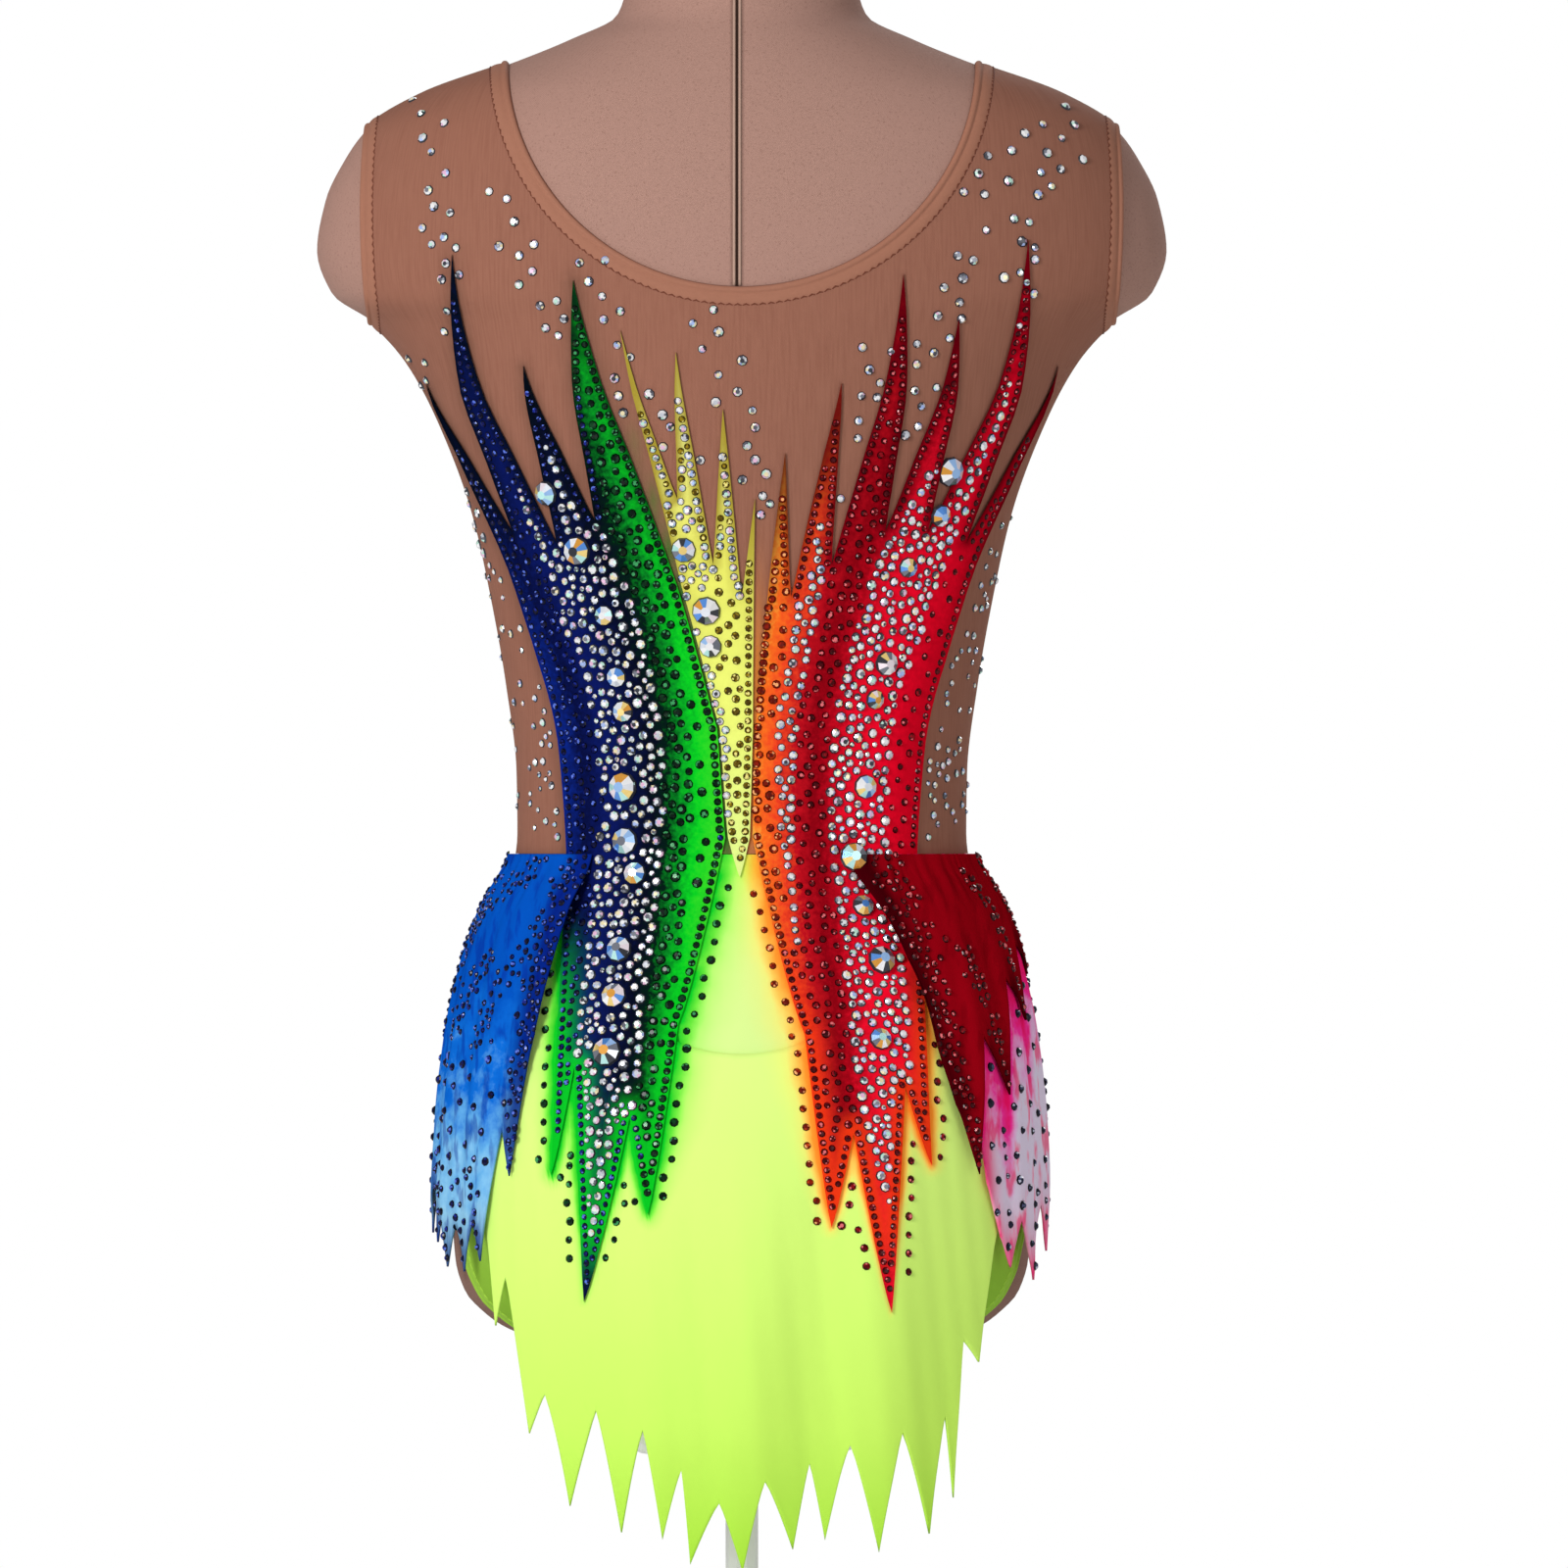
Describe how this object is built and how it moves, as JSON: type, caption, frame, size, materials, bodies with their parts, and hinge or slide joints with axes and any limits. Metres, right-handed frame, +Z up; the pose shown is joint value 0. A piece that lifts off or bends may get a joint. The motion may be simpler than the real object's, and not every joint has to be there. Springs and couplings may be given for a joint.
{
  "type": "rhythmic gymnastics leotard on a dress form",
  "caption": "Sleeveless stretch leotard with sheer back, flame appliqué, a pointed tail and hip drapes, worn by a limbless dress form on a forked post.",
  "frame": {"origin": "centre of the stand's base on its underside, at floor level", "axes": "+Z up; the garment's back faces -Y; +X is the wearer's right"},
  "size_m": [0.387, 0.28, 0.806],
  "materials": {
    "form_jersey": "matte knitted cover",
    "stand_paint": "white satin paint on steel",
    "nude_mesh": "sheer stretch mesh",
    "lime_cloth": "smooth stretch knit",
    "cool_cloth": "dyed stretch knit, blue to green",
    "yellow_cloth": "dyed stretch knit",
    "warm_cloth": "dyed stretch knit, orange to dark red",
    "blue_cloth": "dyed stretch knit, blue to pale blue",
    "pink_cloth": "dyed stretch knit, pink to lilac white",
    "dark_red_cloth": "dyed stretch knit"
  },
  "bodies": {
    "root": {"form_torso": "form_jersey", "stand_base": "stand_paint", "stand_post": "stand_paint", "bodice_back": "nude_mesh", "bodice_front": "lime_cloth", "brief_back": "lime_cloth", "brief_front": "lime_cloth", "neck_binding": "nude_mesh", "arm_binding_left": "nude_mesh", "arm_binding_right": "nude_mesh", "leg_binding_left": "lime_cloth", "leg_binding_right": "lime_cloth", "flames_cool_back": "cool_cloth", "flames_yellow_back": "yellow_cloth", "flames_warm_back": "warm_cloth", "flames_cool_tail": "cool_cloth", "flames_warm_tail": "warm_cloth", "tail": "lime_cloth", "hip_drape_left": "blue_cloth", "hip_drape_right": "pink_cloth", "hip_overlay_right": "dark_red_cloth"}
  },
  "joints": []
}
